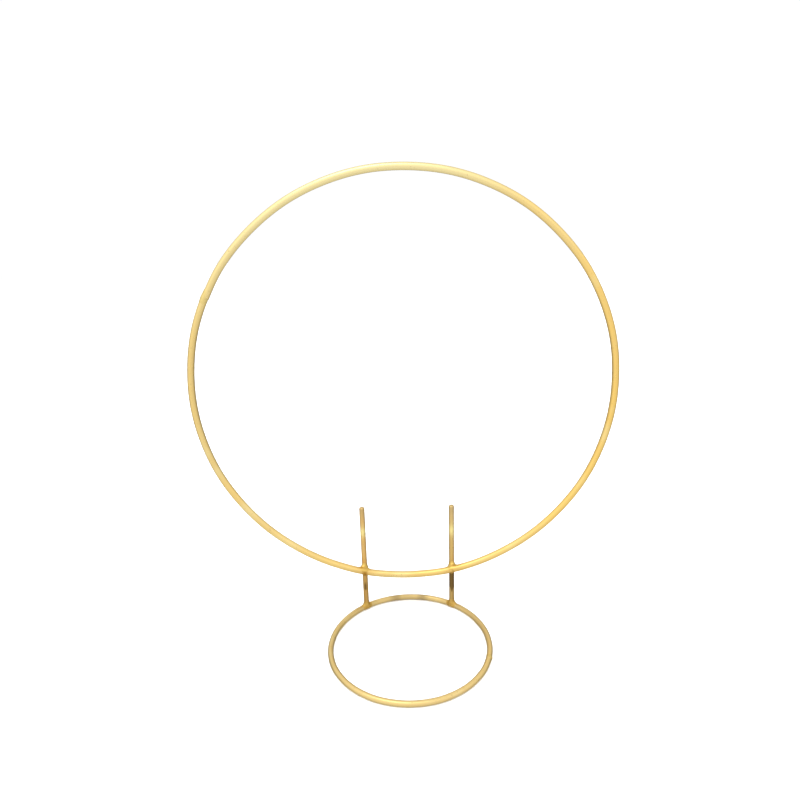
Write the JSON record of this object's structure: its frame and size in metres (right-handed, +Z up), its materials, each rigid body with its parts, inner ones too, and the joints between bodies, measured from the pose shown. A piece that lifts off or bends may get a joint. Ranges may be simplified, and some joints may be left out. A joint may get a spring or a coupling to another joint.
{
  "type": "wreath frame",
  "caption": "Gold wire wreath frame: a large upright hoop carried on rods with free prong tips above a small ring base, to be dressed with flowers as a standing centrepiece.",
  "frame": {"origin": "centre of the base ring, on the surface that the part stands on", "axes": "+Z up, towards the top of the hoop; +Y from front to back, square to the hoop; +X to the right seen from the front"},
  "size_m": [0.3, 0.118, 0.33],
  "materials": {
    "gold_wire": "satin gold plating over steel wire",
    "gold_rod": "satin gold plating over steel wire, heat-darkened just below the hoop weld",
    "gold_weld": "gold plating over rough weld metal"
  },
  "bodies": {
    "root": {"hoop": "gold_wire", "base_ring": "gold_wire", "upright_left": "gold_rod", "upright_right": "gold_rod", "hoop_weld_left": "gold_weld", "hoop_weld_right": "gold_weld", "foot_weld_left": "gold_weld", "foot_weld_right": "gold_weld", "hoop_seam_weld": "gold_weld", "base_seam_weld": "gold_weld"}
  },
  "joints": []
}
